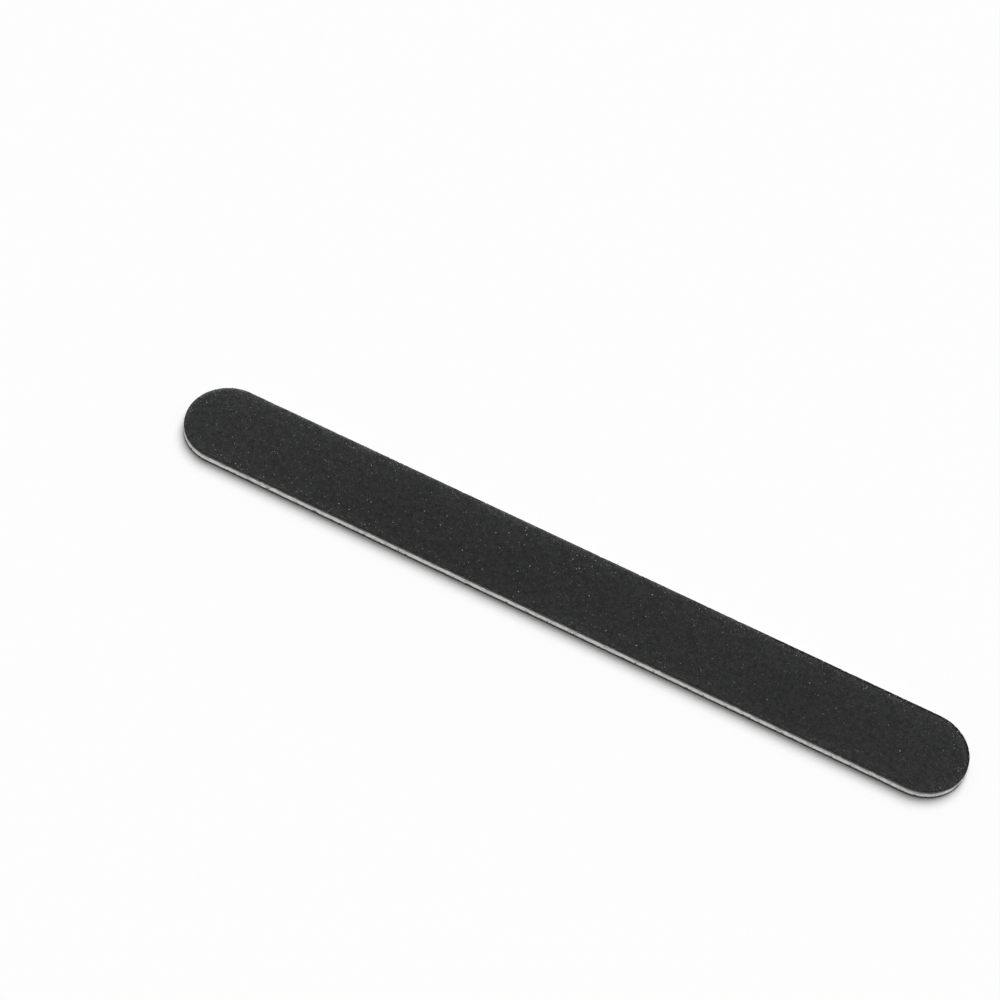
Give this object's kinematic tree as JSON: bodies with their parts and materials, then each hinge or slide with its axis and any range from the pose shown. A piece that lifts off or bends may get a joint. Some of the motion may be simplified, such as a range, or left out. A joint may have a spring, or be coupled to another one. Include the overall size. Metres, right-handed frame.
{
  "type": "emery board",
  "caption": "Flat double-sided nail file with straight sides and round ends: a stiff paper core with black abrasive sheets glued to both faces.",
  "frame": {"origin": "centre of the lower face, in the plane the board rests on", "axes": "+X along the length, +Y across the width, +Z out of the fine face"},
  "size_m": [0.178, 0.019, 0.0029],
  "materials": {
    "core_board": "raw cut fibre, matte, light warm grey",
    "glue": "thin dried glue line, semi-gloss",
    "backing_paper": "dyed black, resin-soaked, matte",
    "bond_resin": "black resin, satin",
    "fine_grain": "fine black abrasive grain with scattered glints",
    "coarse_grain": "coarse black abrasive grain with scattered glints"
  },
  "bodies": {
    "root": {"core": "core_board", "upper_glue": "glue", "upper_paper": "backing_paper", "upper_bond": "bond_resin", "fine_grit": "fine_grain", "lower_glue": "glue", "lower_paper": "backing_paper", "lower_bond": "bond_resin", "coarse_grit": "coarse_grain"}
  },
  "joints": []
}
